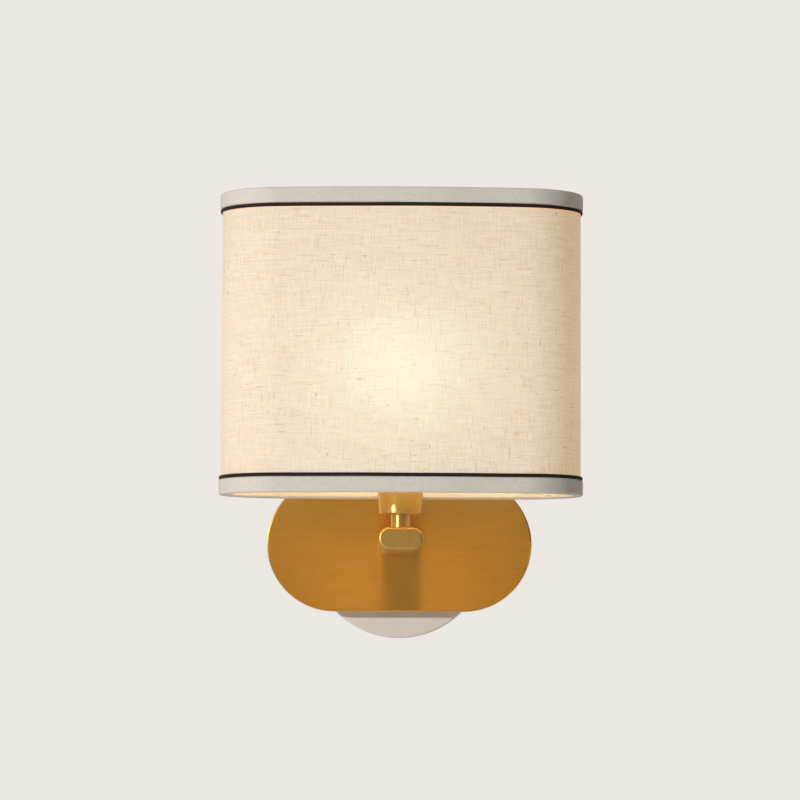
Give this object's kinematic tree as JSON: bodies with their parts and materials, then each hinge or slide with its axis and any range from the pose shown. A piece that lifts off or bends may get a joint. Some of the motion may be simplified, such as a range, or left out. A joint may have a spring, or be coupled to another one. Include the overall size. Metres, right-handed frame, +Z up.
{
  "type": "fabric shade wall light",
  "caption": "Wall light: oval linen shade with white tape and black piping on a short brass arm, cup and rounded brass backplate over a white wall disc.",
  "frame": {"origin": "on the wall, at the centre of the bracket's two screw slots, level with the arm's centreline", "axes": "+X to the right seen from the front, -Y out from the wall to the front, +Z up"},
  "size_m": [0.2532, 0.1656, 0.3071],
  "materials": {
    "white_paint": "satin white powder coat",
    "zinc_steel": "zinc plated",
    "brushed_brass": "fine horizontal brushing, lacquered",
    "satin_brass": "satin, lacquered",
    "polished_brass": "polished",
    "contact_brass": "bright",
    "tinned_lug": "tinned copper",
    "white_nylon": "moulded nylon",
    "holder_resin": "moulded white resin",
    "holder_ceramic": "unglazed steatite",
    "brown_insulation": "silicone sleeved lead",
    "blue_insulation": "silicone sleeved lead",
    "green_insulation": "silicone sleeved lead",
    "white_wire": "white coated steel wire",
    "linen": "slubbed natural linen, lit from inside",
    "shade_film": "translucent shade film",
    "white_tape": "folded cotton tape",
    "black_cord": "black woven cord",
    "opal_glass": "opal, lit warm white",
    "stem_glass": "clear stem glass",
    "cap_glass": "black cap glass",
    "nickel_cap": "nickel plated brass",
    "filament": "phosphor coated strip"
  },
  "bodies": {
    "fixture": {"wall_disc": "white_paint", "mounting_bracket": "zinc_steel", "backplate": "brushed_brass", "grub_screws": "zinc_steel", "arm_tube": "satin_brass", "arm_front_cap": "satin_brass", "arm_rear_block": "satin_brass", "arm_screws": "zinc_steel", "arm_washers": "zinc_steel", "wire_bush": "white_nylon", "threaded_nipple": "zinc_steel", "nipple_nut": "zinc_steel", "neck_sleeve": "polished_brass", "socket_cup": "satin_brass", "holder_cap": "holder_resin", "holder_body": "holder_resin", "holder_core": "holder_ceramic", "core_pins": "contact_brass", "screw_shell": "contact_brass", "centre_contact": "contact_brass", "terminal_block": "white_nylon", "terminal_screws": "contact_brass", "block_screw": "zinc_steel", "earth_screw": "contact_brass", "earth_washer": "contact_brass", "earth_lug": "tinned_lug", "live_lead": "brown_insulation", "neutral_lead": "blue_insulation", "earth_lead": "green_insulation"},
    "shade": {"fitter_ring": "white_wire", "fitter_arms": "white_wire", "bottom_ring": "white_wire", "top_ring": "white_wire", "shade_linen": "linen", "shade_liner": "shade_film", "bottom_band": "white_tape", "top_band": "white_tape", "bottom_piping": "black_cord", "top_piping": "black_cord"},
    "shade_ring": {"ring_nut": "holder_resin"},
    "bulb": {"bulb_glass": "opal_glass", "bulb_cap": "nickel_cap", "bulb_insulator": "cap_glass", "bulb_contact": "nickel_cap", "bulb_stem": "stem_glass", "bulb_filaments": "filament"}
  },
  "joints": [
    {"name": "shade_swivel", "type": "hinge", "parent": "fixture", "child": "shade", "pos_m": [0, -0.114, 0.0521], "axis": [0, 0, 1], "range_deg": [-25, 25]},
    {"name": "ring_turn", "type": "hinge", "parent": "fixture", "child": "shade_ring", "pos_m": [0, -0.114, 0.0542], "axis": [0, 0, 1], "continuous": true},
    {"name": "bulb_turn", "type": "hinge", "parent": "fixture", "child": "bulb", "pos_m": [0, -0.114, 0.05], "axis": [0, 0, 1], "continuous": true}
  ]
}
